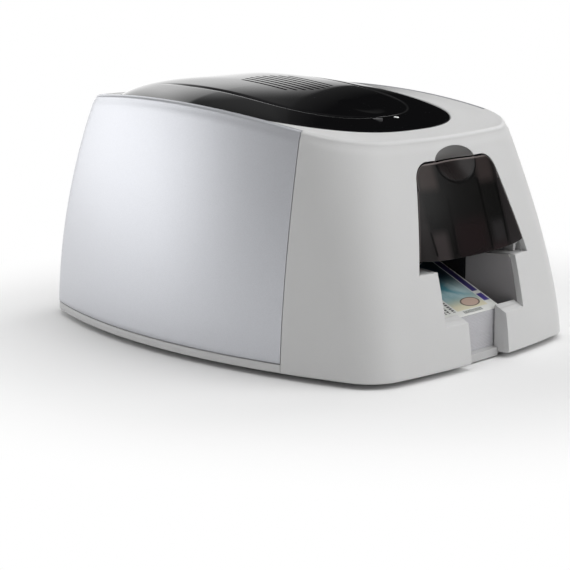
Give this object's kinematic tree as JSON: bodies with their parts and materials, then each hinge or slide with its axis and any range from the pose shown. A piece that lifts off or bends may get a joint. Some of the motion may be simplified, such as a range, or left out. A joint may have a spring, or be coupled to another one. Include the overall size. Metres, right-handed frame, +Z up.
{
  "type": "card printer",
  "caption": "Desktop card printer with a domed hinged top cover, a drop-down hopper door, a sloping output tray of printed cards and a geared roller transport.",
  "frame": {"origin": "centre of the footprint on the table, under the middle of the housing's length", "axes": "+Z up, -Y towards the front with the hopper door, +X to the right as the machine is seen from behind its back, so the left side panel is at -X"},
  "size_m": [0.2206, 0.3104, 0.158],
  "materials": {
    "grey": "moulded light grey plastic, fine grain",
    "silver": "silver metallic lacquer on a moulded panel",
    "smoke": "smoked black glossy plastic",
    "door_smoke": "smoked brown-black clear plastic",
    "steel": "ground and plated steel",
    "rubber": "black rubber",
    "white_plastic": "natural acetal",
    "card": null,
    "dark_plastic": "black moulded plastic",
    "ribbon_wine": "dye film on a spool",
    "ribbon_blue": "used dye film on a spool",
    "board": "green circuit board",
    "lamp": "clear light guide"
  },
  "bodies": {
    "housing": {"base_tray": "grey", "rubber_feet": "rubber", "base_screws": "steel", "front_casing": "grey", "left_side_panel": "silver", "right_side_panel": "silver", "rear_panel": "grey", "finger_scoop": "smoke", "output_tray": "grey", "printed_cards": "card", "left_frame": "steel", "right_frame": "steel", "frame_bars": "steel", "card_hopper": "smoke", "door_hinge_blocks": "grey", "drive_motor": "steel", "ribbon_motor": "steel", "main_board": "board", "power_inlet": "dark_plastic", "usb_socket": "steel", "switch_case": "dark_plastic", "fan_frame": "dark_plastic"},
    "door": {"hopper_door": "door_smoke", "door_hinge_pins": "steel"},
    "cover": {"top_cover": "smoke", "cover_hinge_pin": "steel", "cover_latches": "smoke", "status_light": "lamp", "head_bracket": "steel", "print_head": "dark_plastic"},
    "button": {"push_button": "rubber"},
    "weight": {"card_weight": "white_plastic"},
    "platen": {"platen_roller": "rubber", "platen_gear": "white_plastic"},
    "entry_drive": {"entry_roller": "rubber", "entry_gear": "white_plastic"},
    "exit_drive": {"exit_roller": "rubber", "exit_gear": "white_plastic"},
    "feed_drive": {"feed_roller": "rubber", "feed_gear": "white_plastic"},
    "front_idler_gear": {"front_idler": "white_plastic"},
    "rear_idler_gear": {"rear_idler": "white_plastic"},
    "feed_idler_gear": {"feed_idler": "white_plastic"},
    "motor_pinion": {"drive_pinion": "steel"},
    "entry_pinch": {"entry_pinch_roller": "rubber"},
    "exit_pinch": {"exit_pinch_roller": "rubber"},
    "takeup_spool": {"ribbon_takeup": "white_plastic", "takeup_ribbon_roll": "ribbon_blue", "takeup_gear": "white_plastic"},
    "supply_spool": {"ribbon_supply": "white_plastic", "supply_ribbon_roll": "ribbon_wine"},
    "takeup_pinion": {"ribbon_pinion": "steel"},
    "rocker": {"power_switch": "dark_plastic"},
    "fan_blades": {"fan_rotor": "dark_plastic"}
  },
  "joints": [
    {"name": "platen_spin", "type": "hinge", "parent": "housing", "child": "platen", "pos_m": [0, 0.005, 0.064], "axis": [1, 0, 0], "continuous": true},
    {"name": "takeup_spin", "type": "hinge", "parent": "housing", "child": "takeup_spool", "pos_m": [0, -0.035, 0.104], "axis": [1, 0, 0], "continuous": true},
    {"name": "door_hinge", "type": "hinge", "parent": "housing", "child": "door", "pos_m": [0, -0.13599, 0.0655], "axis": [1, 0, 0], "range_deg": [0, 66]},
    {"name": "cover_hinge", "type": "hinge", "parent": "housing", "child": "cover", "pos_m": [0, 0.0857, 0.14211], "axis": [-1, 0, 0], "range_deg": [0, 50]},
    {"name": "button_press", "type": "slide", "parent": "cover", "child": "button", "axis": [0, 0, -1], "range_m": [0, 0.0012], "stiffness_N_per_m": 300},
    {"name": "weight_lift", "type": "slide", "parent": "housing", "child": "weight", "axis": [0, 0, 1], "range_m": [0, 0.024]},
    {"name": "entry_spin", "type": "hinge", "parent": "housing", "child": "entry_drive", "pos_m": [0, -0.035, 0.064], "axis": [1, 0, 0], "continuous": true},
    {"name": "exit_spin", "type": "hinge", "parent": "housing", "child": "exit_drive", "pos_m": [0, 0.045, 0.064], "axis": [1, 0, 0], "continuous": true},
    {"name": "feed_spin", "type": "hinge", "parent": "housing", "child": "feed_drive", "pos_m": [0, -0.095, 0.064], "axis": [1, 0, 0], "continuous": true},
    {"name": "front_idler_spin", "type": "hinge", "parent": "housing", "child": "front_idler_gear", "pos_m": [0, -0.015, 0.064], "axis": [1, 0, 0], "continuous": true},
    {"name": "rear_idler_spin", "type": "hinge", "parent": "housing", "child": "rear_idler_gear", "pos_m": [0, 0.025, 0.064], "axis": [1, 0, 0], "continuous": true},
    {"name": "feed_idler_spin", "type": "hinge", "parent": "housing", "child": "feed_idler_gear", "pos_m": [0, -0.065, 0.064], "axis": [1, 0, 0], "continuous": true},
    {"name": "drive_pinion_spin", "type": "hinge", "parent": "housing", "child": "motor_pinion", "pos_m": [0, 0.005, 0.046], "axis": [1, 0, 0], "continuous": true},
    {"name": "entry_pinch_spin", "type": "hinge", "parent": "housing", "child": "entry_pinch", "pos_m": [0, -0.035, 0.0778], "axis": [1, 0, 0], "continuous": true},
    {"name": "exit_pinch_spin", "type": "hinge", "parent": "housing", "child": "exit_pinch", "pos_m": [0, 0.045, 0.0778], "axis": [1, 0, 0], "continuous": true},
    {"name": "supply_spin", "type": "hinge", "parent": "housing", "child": "supply_spool", "pos_m": [0, 0.05, 0.1], "axis": [1, 0, 0], "continuous": true},
    {"name": "ribbon_pinion_spin", "type": "hinge", "parent": "housing", "child": "takeup_pinion", "pos_m": [0, -0.035, 0.086], "axis": [1, 0, 0], "continuous": true},
    {"name": "switch_rock", "type": "hinge", "parent": "housing", "child": "rocker", "pos_m": [0.034, 0.15084, 0.024], "axis": [1, 0, 0], "range_deg": [0, 16]},
    {"name": "fan_spin", "type": "hinge", "parent": "housing", "child": "fan_blades", "pos_m": [-0.022, 0.13253, 0.062], "axis": [0, 1, 0], "continuous": true}
  ],
  "couplings": [
    {"joint": "entry_spin", "follows": "platen_spin", "ratio": 1},
    {"joint": "exit_spin", "follows": "platen_spin", "ratio": 1},
    {"joint": "feed_spin", "follows": "platen_spin", "ratio": 1},
    {"joint": "front_idler_spin", "follows": "platen_spin", "ratio": -1.5},
    {"joint": "rear_idler_spin", "follows": "platen_spin", "ratio": -1.5},
    {"joint": "feed_idler_spin", "follows": "platen_spin", "ratio": -0.66667},
    {"joint": "drive_pinion_spin", "follows": "platen_spin", "ratio": -2},
    {"joint": "entry_pinch_spin", "follows": "platen_spin", "ratio": -1.6},
    {"joint": "exit_pinch_spin", "follows": "platen_spin", "ratio": -1.6},
    {"joint": "supply_spin", "follows": "takeup_spin", "ratio": 0.63333},
    {"joint": "ribbon_pinion_spin", "follows": "takeup_spin", "ratio": -2}
  ]
}
